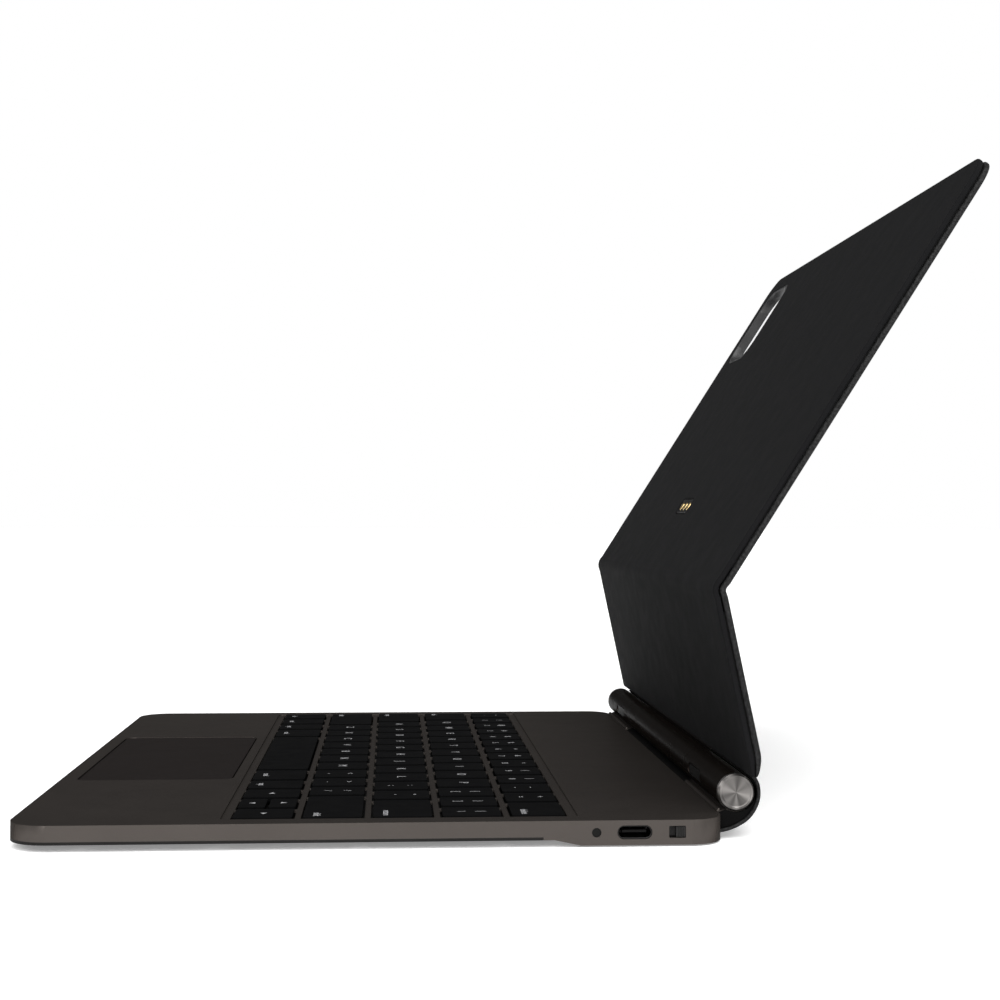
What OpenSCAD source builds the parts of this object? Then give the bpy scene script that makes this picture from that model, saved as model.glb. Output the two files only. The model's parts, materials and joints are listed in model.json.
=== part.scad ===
/* [Keyboard base] */
// Width of the base, side to side
base_w = 250; // [248:1:254]
// Depth of the base, front edge to rear edge
base_d = 189.6; // [188:0.2:191]
// Plan radius of the two front corners
front_r = 11; // [8:0.5:12]
// Plan radius of the two rear corners
rear_r = 9; // [7:0.5:10]
// Height of the deck above the table
deck_z = 7.1; // [7:0.1:7.4]
// Height of the thin front part's underside above the table
front_z = 2.0; // [1.9:0.1:2.1]
// Height of the thicker rear part's underside above the table
hump_z = 0.5; // [0.4:0.1:0.6]
// Thickness of the side walls
wall = 1.6; // [1.4:0.1:1.8]
// Thickness of the deck's skin
deck_t = 1.2; // [1.1:0.1:1.3]

/* [Keyboard] */
// Width of the block of keys, outer edge to outer edge
keys_w = 234.4; // [233:0.2:235]
// Front edge of the first row of keys
keys_front = -36.5; // [-36.9:0.1:-36.3]
// Distance from one row of keys to the next
row_pitch = 18.7; // [18.5:0.1:18.8]
// Front-to-back size of a key
key_d = 15.9; // [15.7:0.1:16.1]
// Front-to-back size of a key in the rear row
key_d_rear = 14.4; // [14.2:0.1:14.6]
// Gap between two keys
key_gap = 2.8; // [2.6:0.1:3.0]
// Clearance between a key and its opening
key_clear = 0.6; // [0.5:0.05:0.65]
// Height of a key's top above the deck
key_rise = 0.2; // [0.1:0.1:0.4]
// Depth of the shallow well round the keys
well_deep = 0.4; // [0.3:0.1:0.6]

/* [Trackpad] */
// Width of the trackpad
pad_w = 98; // [94:1:100]
// Front-to-back size of the trackpad
pad_d = 46.4; // [45:0.2:47]
// Middle of the trackpad, measured from the middle of the base
pad_y = -66.3; // [-66.6:0.1:-66]
// Gap round the trackpad
pad_gap = 0.5; // [0.4:0.1:0.6]

/* [Hinge] */
// Radius of the hinge barrel
barrel_r = 5.1; // [5:0.1:5.2]
// Half the length of the whole barrel with its caps
barrel_half = 115; // [113:1:116]
// Half the length of the middle barrel, which turns with the stand
centre_half = 62; // [60:1:64]
// Distance of the barrel's axis behind the base's rear edge
axis_back = 4.8; // [4.7:0.1:4.9]
// Height of the barrel's axis above the deck
axis_up = 5.4; // [5.3:0.1:5.5]
// Radius of the hinge shafts
shaft_r = 2.0; // [1.8:0.1:2.2]
// Radial clearance of the shafts in the bushings that turn
run_clear = 0.05; // [0.02:0.01:0.08]

/* [Stand and cover] */
// Width of the stand and the cover
panel_w = 248; // [246:1:250]
// Distance from the barrel's axis to the fold
stand_len = 55.8; // [55:0.2:57]
// Length of the cover from the fold to its free end
cover_len = 139.2; // [137:0.2:141]
// Forward lean of the stand, from upright
stand_lean = 12; // [9:1:14]
// Backward lean of the cover, from upright
cover_lean = 32.5; // [28:0.5:36]
// Distance from the barrel's axis to the stand's inner face
inner_n = 3.6; // [3.5:0.1:3.7]
// Thickness of the inner liner
liner_t = 1.0; // [0.9:0.1:1.1]
// Thickness of the stiff core
core_t = 1.4; // [1.4:0.1:1.5]
// Thickness of the outer skin
skin_t = 1.2; // [1.1:0.1:1.3]
// Plan radius of the cover's free corners
cover_r = 9.5; // [8:0.5:12]
// Size of the camera window
window = 33; // [30:1:34]

/* [Hidden] */
$fn = 48;
eps = 0.01;

// Colours
deck_c = [0.25, 0.23, 0.21];
skin_c = [0.15, 0.15, 0.16];
liner_c = [0.11, 0.11, 0.12];
key_c = [0.08, 0.08, 0.085];
steel_c = [0.62, 0.62, 0.64];
dark_c = [0.12, 0.11, 0.11];

// Barrel axis and fold pivot, seen from the side (y, z)
rear_y = base_d / 2;
axis_y = rear_y + axis_back;
axis_z = deck_z + axis_up;
pivot_n = inner_n + liner_t + core_t - 0.1;
pivot_y = axis_y - stand_len * sin(stand_lean) + pivot_n * cos(stand_lean);
pivot_z = axis_z + stand_len * cos(stand_lean) + pivot_n * sin(stand_lean);

// Layers of the panels, as distances out from the barrel axis
core_n = inner_n + liner_t;
skin_n = core_n + core_t;
outer_n = skin_n + skin_t;

// The rearmost point is the cover's outer top edge
top_y = pivot_y + cover_len * sin(cover_lean) + (outer_n - pivot_n) * cos(cover_lean);
mid_y = (top_y - base_d / 2) / 2;

// Rows of keys, front to rear: unit widths from the left to the right
unit = 16.4;
function times(n, w) = [for (i = [1:n]) w];
rows = [
    [unit, unit, unit, 20.5, 80.2, 20.5, unit, unit, unit, unit],
    concat([35.6], times(10, unit), [36.4]),
    concat([27.0], times(11, unit), [28.6]),
    concat([22.8], times(13, unit)),
    concat(times(13, unit), [22.8])];
function sum_to(v, n) = n <= 0 ? 0 : v[n - 1] + sum_to(v, n - 1);
function key_x(r, i) = -keys_w / 2 - key_gap / 2 + sum_to(rows[r], i) * unit_scale
    + rows[r][i] * unit_scale / 2;
function key_w(r, i) = rows[r][i] * unit_scale - key_gap;
function row_d(r) = r == 4 ? key_d_rear : key_d;
function row_y(r) = keys_front + r * row_pitch + row_d(r) / 2;
unit_scale = (keys_w + key_gap) / 236;
arrow_d = (key_d - 0.9) / 2;
key_bottom = deck_z - deck_t;
key_top = deck_z + key_rise;
well_y0 = -39.6;
well_y1 = 56.0;
floor_z = front_z + 0.8;

// Small features on the right-hand side of the base
side_z = deck_z - 3.2;
lens_y = 60.1;
usb_y = 70.3;
switch_y = 81.7;
usb_w = 9.35;
usb_h = 3.68;

// ---- helpers ----
module at_origin() translate([0, -mid_y, 0]) children();
module slab(z0, z1) translate([0, 0, z0]) linear_extrude(z1 - z0) children();
module along_x(x0, x1) translate([x0, 0, 0]) rotate([90, 0, 90]) linear_extrude(x1 - x0) children();
module mirrored() { children(); mirror([1, 0, 0]) children(); }
module rod(r, x0, x1) translate([x0, 0, 0]) rotate([0, 90, 0]) cylinder(r = r, h = x1 - x0);

// Rounded rectangle about its middle
module rrect(w, d, r) {
    square([w - 2 * r, d], center = true);
    square([w, d - 2 * r], center = true);
    for (x = [-1, 1], y = [-1, 1]) translate([x * (w / 2 - r), y * (d / 2 - r)]) circle(r);
}

// Rectangle from y0 to y1 with rounded corners at y1 only
module tongue(w, y0, y1, r) {
    translate([-w / 2, y0]) square([w, y1 - y0 - r]);
    translate([-w / 2 + r, y0]) square([w - 2 * r, y1 - y0]);
    for (s = [-1, 1]) translate([s * (w / 2 - r), y1 - r]) circle(r);
}

// Plan of the base, drawn in by inset
module base_outline(inset = 0) {
    w = base_w - 2 * inset;
    d = base_d - 2 * inset;
    rf = front_r - inset;
    rr = rear_r - inset;
    translate([-w / 2, -d / 2 + rf]) square([w, d - rf - rr]);
    translate([-w / 2 + rf, -d / 2]) square([w - 2 * rf, d / 2]);
    translate([-w / 2 + rr, 0]) square([w - 2 * rr, d / 2]);
    for (s = [-1, 1]) {
        translate([s * (w / 2 - rf), -d / 2 + rf]) circle(rf);
        translate([s * (w / 2 - rr), d / 2 - rr]) circle(rr);
    }
}

// Frame of the barrel: x along the axis
module at_axis() translate([0, axis_y, axis_z]) children();
// Frame of the stand: y runs up the panel, z runs out of its outer face
module at_stand() at_axis() rotate([90 + stand_lean, 0, 0]) mirror([0, 0, 1]) children();
// Frame of the cover: the same, with its origin on the fold pivot
module at_cover() translate([0, pivot_y, pivot_z]) rotate([90 - cover_lean, 0, 0])
    mirror([0, 0, 1]) children();

// Posts for the screws in the front and the rear of the base
front_posts = [for (x = [-120.9, 120.9], y = [-76, -40, -2, 36]) [x, y]];
rear_posts = [[-108, 89.6], [108, 89.6], [-36, 89.6], [36, 89.6], [-108, 62.5], [36, 62.5]];
saddle_xs = [-108, -72, 72, 108];

// ---- base ----
module shell_profile() polygon([[-rear_y, floor_z], [46, floor_z], [46, front_z], [49, front_z],
    [56, hump_z], [rear_y, hump_z], [rear_y, deck_z], [-rear_y, deck_z]]);
module shell_space() {
    roof = deck_z - deck_t;
    slab(floor_z - 1, roof) intersection() {
        base_outline(wall);
        translate([-base_w / 2, -rear_y]) square([base_w, rear_y + 44.5]);
    }
    along_x(-base_w / 2 + wall, base_w / 2 - wall)
        polygon([[44.4, 3.2], [51, 3.2], [57, 1.9], [58.6, 1.9], [58.6, roof], [44.4, roof]]);
    slab(hump_z - 1, roof) intersection() {
        base_outline(wall);
        translate([-base_w / 2, 58.5]) square([base_w, rear_y]);
    }
}

// Openings for one row of keys, narrowed by small nubs between the keys
module row_slot(r) {
    n = len(rows[r]);
    d = row_d(r) + 2 * key_clear;
    difference() {
        translate([-keys_w / 2 - key_clear, row_y(r) - d / 2]) square([keys_w + 2 * key_clear, d]);
        for (i = [0:n - 2], s = [-1, 1])
            translate([key_x(r, i) + key_w(r, i) / 2 + key_gap / 2, row_y(r) + s * (d / 2 - 0.6)])
                square([key_gap - 2 * key_clear, 1.3], center = true);
    }
}

module deck_shell() color(deck_c) at_origin() difference() {
    union() {
        difference() {
            intersection() {
                slab(hump_z, deck_z) base_outline();
                along_x(-base_w, base_w) shell_profile();
            }
            shell_space();
        }
        for (p = front_posts) translate([p[0], p[1], floor_z]) cylinder(r = 2, h = 3.2);
        for (p = rear_posts) translate([p[0], p[1], hump_z + 0.8]) cylinder(r = 2, h = 4.7);
    }
    slab(deck_z - well_deep, deck_z + 1) translate([0, (well_y0 + well_y1) / 2])
        rrect(keys_w + 1.8, well_y1 - well_y0, 1.5);
    for (r = [0:4]) slab(key_bottom - 1, deck_z) row_slot(r);
    slab(key_bottom - 1, deck_z + 1) translate([0, pad_y])
        rrect(pad_w + 2 * pad_gap, pad_d + 2 * pad_gap, 3.5);
    for (p = front_posts) translate([p[0], p[1], floor_z - 0.1]) cylinder(r = 0.8, h = 2.1);
    for (p = rear_posts) translate([p[0], p[1], hump_z]) cylinder(r = 0.8, h = 3.3);
    for (x = saddle_xs) translate([x, rear_y - 3, 5.1]) rotate([-90, 0, 0]) cylinder(r = 0.9, h = 4);
    translate([0, lens_y, side_z]) rod(1.25, 122, 126);
    along_x(122, 126) translate([usb_y, side_z]) rrect(usb_w, usb_h, usb_h / 2 - eps);
    along_x(122, 126) translate([switch_y, side_z]) rrect(4.5, 3.2, 0.3);
}

module bottom_plate() color(dark_c) at_origin() difference() {
    slab(front_z, floor_z) intersection() {
        base_outline();
        translate([-base_w, -rear_y]) square([2 * base_w, rear_y + 45.9]);
    }
    for (p = front_posts) translate([p[0], p[1], 0]) {
        cylinder(r = 0.8, h = 5);
        cylinder(r = 1.6, h = front_z + 0.5);
    }
}

module hump_plate() color(deck_c) at_origin() difference() {
    slab(hump_z, hump_z + 0.8) intersection() {
        base_outline(wall + 0.1);
        translate([-base_w, 58.6]) square([2 * base_w, rear_y]);
    }
    for (p = rear_posts) translate([p[0], p[1], 0]) {
        cylinder(r = 0.8, h = 5);
        cylinder(r = 1.6, h = hump_z + 0.5);
    }
}

module front_feet() color(dark_c) at_origin()
    for (s = [-1, 1]) slab(0, front_z) translate([s * 88, -79]) rrect(44, 7, 3.4);

module rear_foot() color(dark_c) at_origin() slab(0, hump_z) translate([0, 76]) rrect(216, 9, 4.4);

module key_plate() color(steel_c) at_origin() difference() {
    slab(floor_z + 0.5, floor_z + 0.9) translate([0, 8.2]) rrect(2 * 118, 92.4, 1);
    for (x = [-100:25:100]) translate([x, -36.5, 0]) cylinder(r = 0.7, h = 8);
}

// Supports and domes stand under every key
module each_key() for (r = [0:4], i = [0:len(rows[r]) - 1])
    if (r == 0 && i == 8) for (s = [-1, 1])
        translate([key_x(r, i), row_y(r) + s * (key_d - arrow_d) / 2]) {
            $kw = key_w(r, i);
            $kd = arrow_d;
            children();
        }
    else translate([key_x(r, i), row_y(r)]) {
        $kw = key_w(r, i);
        $kd = row_d(r);
        children();
    }

module key_membrane() color([0.2, 0.22, 0.22]) at_origin() {
    slab(floor_z + 0.9, floor_z + 1.1) translate([0, 8.2]) square([2 * 117.5, 92], center = true);
    slab(floor_z + 1.1 - eps, floor_z + 2.0) each_key() circle(1.6);
}

module key_supports() color([0.55, 0.55, 0.52]) at_origin()
    slab(floor_z + 1.1, floor_z + 1.95) each_key() difference() {
        square([$kw - 2, $kd - 2], center = true);
        square([$kw - 4, $kd - 4], center = true);
    }

module trackpad_frame() color(steel_c) at_origin() {
    difference() {
        slab(floor_z, floor_z + 0.5) translate([0, pad_y]) square([pad_w + 4, 44], center = true);
        slab(0, 9) translate([0, pad_y + 4]) square([pad_w - 20, 24], center = true);
    }
    for (x = [-44, 44], y = [-18, 18]) slab(floor_z + 0.5, floor_z + 2.0)
        translate([x, pad_y + y]) square([6, 4], center = true);
}

module click_switch() color(dark_c) at_origin() translate([0, pad_y - 15, floor_z + 0.5]) {
    translate([-3, -3, 0]) cube([6, 6, 0.9]);
    cylinder(r = 1.5, h = 1.5);
}

module batteries() color([0.2, 0.2, 0.22]) at_origin()
    mirrored() slab(floor_z, floor_z + 2.7) translate([86.5, -65]) rrect(61, 44, 1);

module main_board() color([0.06, 0.2, 0.12]) at_origin() {
    slab(hump_z + 0.8, hump_z + 1.5) translate([60, 60]) square([61, 27]);
    translate([72, 66, hump_z + 1.5]) cube([10, 10, 1]);
    translate([90, 72, hump_z + 1.5]) cube([8, 8, 0.9]);
    translate([66, 82, hump_z + 1.5]) cube([22, 4, 1.6]);
}

module usb_outline(cut) rrect(usb_w - 0.1 - cut, usb_h - 0.1 - cut, (usb_h - 0.1 - cut) / 2 - eps);
module usb_shell() color(steel_c) at_origin() translate([0, usb_y, side_z]) difference() {
    along_x(117, 124.6) usb_outline(0);
    along_x(117.6, 126) usb_outline(0.6);
}
module usb_tongue() color(dark_c) at_origin() translate([117.6, usb_y - 3.3, side_z - 0.35])
    cube([5.6, 6.6, 0.7]);

module switch_housing() color(dark_c) at_origin() difference() {
    translate([116, switch_y - 5.3, 2.1]) cube([6.1, 10.4, 3.6]);
    translate([119, switch_y - 4.5, 2.5]) cube([4, 8.8, 2.8]);
}
module power_slider() color([0.45, 0.44, 0.43]) at_origin() {
    translate([122.2, switch_y - 2.1, side_z - 1.3]) cube([1.1, 5.6, 2.6]);
    translate([119.3, switch_y - 0.3, side_z - 1.1]) cube([2.95, 2, 2.2]);
    difference() {
        translate([123.2, switch_y - 0.35, side_z - 1.4]) cube([1.6, 2.55, 2.8]);
        for (i = [0:2]) translate([124.6, switch_y + 0.15 + 0.6 * i, side_z - 2]) cube([1, 0.3, 4]);
    }
}
module status_lens() color([0.7, 0.72, 0.7]) at_origin() translate([0, lens_y, side_z])
    rod(1.2, 122.6, 124.6);

// ---- hinge parts on the base ----
module hinge_saddles() color(deck_c) at_origin() difference() {
    mirrored() along_x(centre_half + 1, barrel_half - 1)
        polygon([[rear_y, 3.4], [axis_y - 1.6, 4.4], [axis_y + 1.4, 5.8], [axis_y + 3, 7.8],
            [axis_y + 1, 9], [rear_y + 2.4, deck_z + 1.0], [rear_y + 0.3, deck_z + 0.3],
            [rear_y, deck_z + 0.1]]);
    at_axis() rod(barrel_r, -130, 130);
    for (x = saddle_xs) translate([x, rear_y - 1, 5.1]) rotate([-90, 0, 0]) {
        cylinder(r = 0.9, h = 12);
        translate([0, 0, 3]) cylinder(r = 1.5, h = 9);
    }
}
// Oblong pads let into the fronts of the fixed sleeves
pad_mid = 78.5;
module pad_shape(l, w, y0, y1) translate([pad_mid, y1, 0]) rotate([90, 0, 0])
    linear_extrude(y1 - y0) rrect(l, w, w / 2 - eps);
module hinge_sleeves() color(dark_c) at_origin() at_axis() mirrored() difference() {
    rod(barrel_r, centre_half + 0.4, barrel_half - 2);
    rod(3.2, centre_half - 1, barrel_half);
    pad_shape(19, 3.6, -6, -4.3);
}
module sleeve_pads() color([0.03, 0.03, 0.03]) at_origin() at_axis() mirrored()
    pad_shape(18.4, 3, -4.8, -4.3);
module end_caps() color([0.5, 0.49, 0.48]) at_origin() at_axis() mirrored()
    translate([barrel_half - 2, 0, 0]) rotate([0, 90, 0]) rotate_extrude()
        polygon([[0, -4], [3.2, -4], [3.2, 0], [barrel_r, 0], [barrel_r, 1.5], [barrel_r - 0.5, 2],
            [barrel_r - 1, 2], [barrel_r - 1.3, 1.85], [0, 1.85]]);
module hinge_shafts() color(steel_c) at_origin() at_axis() mirrored() rod(shaft_r, 38, 104);
module torque_units() color([0.45, 0.42, 0.36]) at_origin() at_axis() mirrored() difference() {
    union() for (i = [0:4]) rod(i % 2 == 0 ? 3.2 : 2.9, 68 + i * 6, 74 + i * 6);
    rod(shaft_r, 60, 110);
}
module spine_skin() color(skin_c) at_origin() at_axis() along_x(-barrel_half - 1, barrel_half + 1)
    polygon([[-axis_back, -10.7], [-1.6, -9.95], [1.3, -8.6], [3.6, -6.9], [5.4, -4.4], [6.4, -1.5],
        [6.5, 1.0], [5.9, 3.1], [5.1, 2.75], [5.7, 0.9], [5.6, -1.3], [4.7, -4.0], [3.0, -6.3],
        [0.9, -7.85], [-1.8, -9.1], [-axis_back, -9.8]]);

// Countersunk screws of the two bottom plates, and the saddle screws
module screw(head, length) {
    cylinder(r = 1.6, h = head);
    cylinder(r = 0.8, h = length);
}
module screws() color(steel_c) at_origin() {
    for (p = front_posts) translate([p[0], p[1], front_z + 0.05]) screw(0.45, 2.6);
    for (p = rear_posts) translate([p[0], p[1], hump_z + 0.05]) screw(0.45, 3);
    for (x = saddle_xs) translate([x, rear_y + 2.6, 5.1]) rotate([90, 0, 0]) {
        translate([0, 0, -0.6 + eps]) cylinder(r = 1.4, h = 1.2 - eps);
        cylinder(r = 0.9, h = 5);
    }
}

// ---- trackpad ----
module trackpad_glass() color([0.2, 0.185, 0.175]) at_origin()
    slab(deck_z - 1.0, deck_z - 0.1) translate([0, pad_y]) rrect(pad_w, pad_d, 3);
module trackpad_plate() color(steel_c) at_origin() translate([0, pad_y, 0]) {
    slab(deck_z - 1.6, deck_z - 1.0) rrect(pad_w - 3, pad_d - 3, 2);
    slab(deck_z - 1.75, deck_z - 1.6) for (x = [-30:15:30]) translate([x, 0]) square([1, 38], center = true);
}

// ---- keys ----
module key_cap(r, i) translate([key_x(r, i), row_y(r)]) slab(key_bottom, key_top)
    rrect(key_w(r, i), row_d(r), 0.9);
module keys(r, from, to) color(key_c) at_origin() for (i = [from:to]) key_cap(r, i);
module half_key(s) color(key_c) at_origin()
    translate([key_x(0, 8), row_y(0) + s * (key_d - arrow_d) / 2]) slab(key_bottom, key_top)
        rrect(key_w(0, 8), arrow_d, 0.9);

module key_space() keys(0, 4, 4);
module key_left() keys(0, 7, 7);
module key_up() half_key(1);
module key_down() half_key(-1);
module key_right() keys(0, 9, 9);
module key_return() keys(2, 12, 12);
module key_backspace() keys(4, 13, 13);
module key_tab() keys(3, 0, 0);
module key_caps() keys(2, 0, 0);
module key_shift_left() keys(1, 0, 0);
module key_shift_right() keys(1, 11, 11);
module keys_modifiers() {
    keys(0, 0, 3);
    keys(0, 5, 6);
}
module keys_number_row() keys(4, 0, 12);
module keys_top_row() keys(3, 1, 13);
module keys_home_row() keys(2, 1, 11);
module keys_bottom_row() keys(1, 1, 10);

// ---- stand ----
module centre_barrel() color(dark_c) at_origin() at_axis() difference() {
    rod(barrel_r, -centre_half, centre_half);
    rod(3.2, -centre_half - 1, centre_half + 1);
}
module barrel_bushings() color([0.5, 0.42, 0.25]) at_origin() at_axis() mirrored() difference() {
    rod(3.2, 40, centre_half);
    rod(shaft_r + run_clear, 30, centre_half + 1);
}
module hinge_strap() color(deck_c) at_origin() difference() {
    at_stand() translate([-60, 1.5, 4.2]) cube([120, 4.7, 1.0]);
    at_axis() rod(barrel_r, -130, 130);
}
module stand_core() color([0.35, 0.35, 0.34]) at_origin() at_stand()
    slab(core_n, skin_n) translate([-panel_w / 2 + 1.5, 6.2]) square([panel_w - 3, stand_len - 12.7]);
module stand_liner() color(liner_c) at_origin() at_stand()
    slab(inner_n, core_n) translate([-panel_w / 2 + 0.8, 6.2]) square([panel_w - 1.6, stand_len - 10.5]);
module stand_skin() color(skin_c) at_origin() at_stand()
    slab(skin_n, outer_n) translate([0, stand_len / 2 + 0.5]) rrect(panel_w, stand_len - 11, 1);
module fold_skin() color(skin_c) at_origin() at_stand()
    slab(skin_n + 0.2, outer_n) translate([-panel_w / 2, stand_len - 4.8])
        square([panel_w, 3.4]);
module fold_liner() color(liner_c) at_origin() at_stand()
    slab(inner_n, inner_n + 0.7) translate([-panel_w / 2 + 0.8, stand_len - 4.1])
        square([panel_w - 1.6, 3.6]);

// Concealed leaf hinge along the fold: knuckles take turns on one pin
knuckle = 18;
module knuckles(first, bore) difference() {
    union() for (i = [first:2:12]) rod(1, -117 + i * knuckle + 0.1, -117 + (i + 1) * knuckle - 0.1);
    rod(bore, -120, 120);
}
module leaf(first, y0, y1) for (i = [first:2:12])
    translate([-117 + i * knuckle + 0.1, y0, -0.9]) cube([knuckle - 0.2, y1 - y0, 0.8]);
module fold_leaf_stand() color(steel_c) at_origin() at_stand()
    translate([0, stand_len, pivot_n]) {
        difference() {
            leaf(0, -4, 0);
            rod(0.5, -120, 120);
        }
        knuckles(0, 0.5);
        translate([-117, -6.4, -0.9]) cube([234, 2.5, 0.8]);
    }
module fold_pin() color(steel_c) at_origin() at_stand()
    translate([0, stand_len, pivot_n]) rod(0.5, -117, 117);

// ---- cover ----
win_x = -(panel_w / 2 - 9 - window / 2);
win_y = cover_len - 9 - window / 2;
module cover_window(extra) translate([win_x, win_y]) rrect(window + extra, window + extra, 8);
module fold_leaf_cover() color(steel_c) at_origin() at_cover() {
    difference() {
        leaf(1, 0, 4);
        rod(0.55, -120, 120);
    }
    knuckles(1, 0.55);
    translate([-117, 3.9, -0.9]) cube([234, 2.5, 0.8]);
}
module cover_core() color([0.35, 0.35, 0.34]) at_origin() at_cover()
    translate([0, 0, -pivot_n]) difference() {
        slab(core_n, skin_n) difference() {
            tongue(panel_w - 3, 6.5, cover_len - 1.5, cover_r - 1.5);
            cover_window(2);
        }
        magnet_bars(1.3, 0);
        slab(core_n - 1, skin_n) translate([0, 26]) square([26, 9], center = true);
    }
// Bar magnets in pockets that open on the inner side of the core
module magnet_bars(t, gap) for (x = [-108:18:108], y = [16, 70, 125])
    if (abs(x - win_x) > 26 || y < 60)
        if (y > 20 || abs(x) > 20)
            translate([x, y, core_n]) translate([-5 + gap, -2 + gap, gap > 0 ? 0 : -1])
                cube([10 - 2 * gap, 4 - 2 * gap, gap > 0 ? t : t + 1]);
module cover_magnets() color(steel_c) at_origin() at_cover()
    translate([0, 0, -pivot_n]) magnet_bars(1.25, 0.05);
module cover_liner() color(liner_c) at_origin() at_cover()
    translate([0, 0, -pivot_n]) slab(inner_n, core_n) difference() {
        tongue(panel_w - 1.6, 0.5, cover_len - 0.8, cover_r - 0.8);
        cover_window(2);
        translate([0, 26]) square([22, 6], center = true);
    }
module cover_skin() color(skin_c) at_origin() at_cover()
    translate([0, 0, -pivot_n]) slab(skin_n, outer_n) difference() {
        tongue(panel_w, 4.8, cover_len, cover_r);
        cover_window(2);
    }
module window_trim() color(dark_c) at_origin() at_cover()
    translate([0, 0, -pivot_n]) slab(inner_n, outer_n) difference() {
        cover_window(1.9);
        cover_window(0);
    }
module contact_block() color([0.75, 0.62, 0.35]) at_origin() at_cover()
    translate([0, 26, -pivot_n]) {
        slab(core_n, skin_n - 0.05) square([25.8, 8.8], center = true);
        slab(inner_n + 0.1, core_n) rrect(21.8, 5.8, 2.8);
        for (x = [-6, 0, 6]) translate([x, 0, inner_n - 0.1]) cylinder(r = 1.5, h = 1);
    }

deck_shell();
bottom_plate();
hump_plate();
front_feet();
rear_foot();
key_plate();
key_membrane();
key_supports();
trackpad_frame();
click_switch();
batteries();
main_board();
usb_shell();
usb_tongue();
switch_housing();
status_lens();
hinge_saddles();
hinge_sleeves();
sleeve_pads();
end_caps();
hinge_shafts();
torque_units();
spine_skin();
screws();
trackpad_glass();
trackpad_plate();
power_slider();
centre_barrel();
barrel_bushings();
hinge_strap();
stand_core();
stand_liner();
stand_skin();
fold_leaf_stand();
fold_pin();
fold_skin();
fold_liner();
cover_core();
cover_magnets();
cover_liner();
cover_skin();
fold_leaf_cover();
window_trim();
contact_block();
key_space();
key_left();
key_up();
key_down();
key_right();
key_return();
key_backspace();
key_tab();
key_caps();
key_shift_left();
key_shift_right();
keys_modifiers();
keys_number_row();
keys_top_row();
keys_home_row();
keys_bottom_row();
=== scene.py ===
"""Looks of the tablet keyboard case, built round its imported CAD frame. Lengths are in metres."""

import json
import math

import bmesh
import bpy
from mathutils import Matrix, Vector


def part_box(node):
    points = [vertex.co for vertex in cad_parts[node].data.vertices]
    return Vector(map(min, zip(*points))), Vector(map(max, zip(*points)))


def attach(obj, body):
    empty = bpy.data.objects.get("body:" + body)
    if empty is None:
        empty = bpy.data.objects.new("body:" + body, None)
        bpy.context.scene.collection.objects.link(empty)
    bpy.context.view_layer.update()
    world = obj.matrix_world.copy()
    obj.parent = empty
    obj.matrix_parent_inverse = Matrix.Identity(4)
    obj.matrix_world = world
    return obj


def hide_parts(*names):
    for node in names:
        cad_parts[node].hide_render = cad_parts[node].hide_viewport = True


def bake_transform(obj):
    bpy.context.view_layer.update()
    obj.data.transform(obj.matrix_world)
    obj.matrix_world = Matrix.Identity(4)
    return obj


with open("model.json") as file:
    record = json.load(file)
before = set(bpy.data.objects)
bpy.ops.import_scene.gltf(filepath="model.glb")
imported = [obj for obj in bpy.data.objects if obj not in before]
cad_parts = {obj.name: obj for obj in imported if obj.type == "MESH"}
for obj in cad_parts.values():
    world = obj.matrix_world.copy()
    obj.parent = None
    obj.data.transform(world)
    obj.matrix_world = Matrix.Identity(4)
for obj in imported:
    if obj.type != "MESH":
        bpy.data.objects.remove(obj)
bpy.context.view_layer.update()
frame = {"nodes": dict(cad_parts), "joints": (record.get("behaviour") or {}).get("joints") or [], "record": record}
NODES = frame["nodes"]
MM = 0.001

# Places taken from the frame: the barrel's axis, the fold's pivot and how the panels lean
JOINTS = {joint["name"]: joint for joint in frame["joints"]}
AXIS = Vector(JOINTS["case_fold"]["pos_m"])
PIVOT = Vector(JOINTS["cover_tilt"]["pos_m"])
DOCKING = next(m for m in frame["record"]["mounts"] if m["name"] == "docking_face")
REAR_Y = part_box("deck_shell")[1].y
DECK_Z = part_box("deck_shell")[1].z
PANEL_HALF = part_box("cover_skin")[1].x

# Layers of the two panels, as distances out from a plane through the barrel's axis
LINER_IN = 3.6 * MM
LINER_OUT = 5.15 * MM
SKIN_IN = 5.5 * MM
SKIN_OUT = 7.2 * MM
PIVOT_OUT = 5.9 * MM

REACH = Vector((0, PIVOT.y - AXIS.y, PIVOT.z - AXIS.z))
STAND_LEN = math.sqrt(REACH.length_squared - PIVOT_OUT**2)
STAND_LEAN = math.atan2(-REACH.y, REACH.z) + math.asin(PIVOT_OUT / REACH.length)
COVER_LEAN = math.atan2(DOCKING["axis"][2], -DOCKING["axis"][1])
LINER_INSET = 0.8 * MM
COVER_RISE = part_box("cover_liner")[1].z - PIVOT.z - (PIVOT_OUT - LINER_IN) * math.sin(COVER_LEAN)
COVER_LEN = COVER_RISE / math.cos(COVER_LEAN) + LINER_INSET

# The soft bend at the fold, and the stand's lower end, which thins towards the barrel
FOLD_HALF = 2.6 * MM
LOW_END = 4.4 * MM
TAPER = 6.3 * MM
TAPER_SHARE = 0.6
TAPER_POWER = 1.8


# ---- materials ----
def socket(node, name):
    """The enabled input of that name."""
    return next(s for s in node.inputs if s.name == name and s.enabled)


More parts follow.
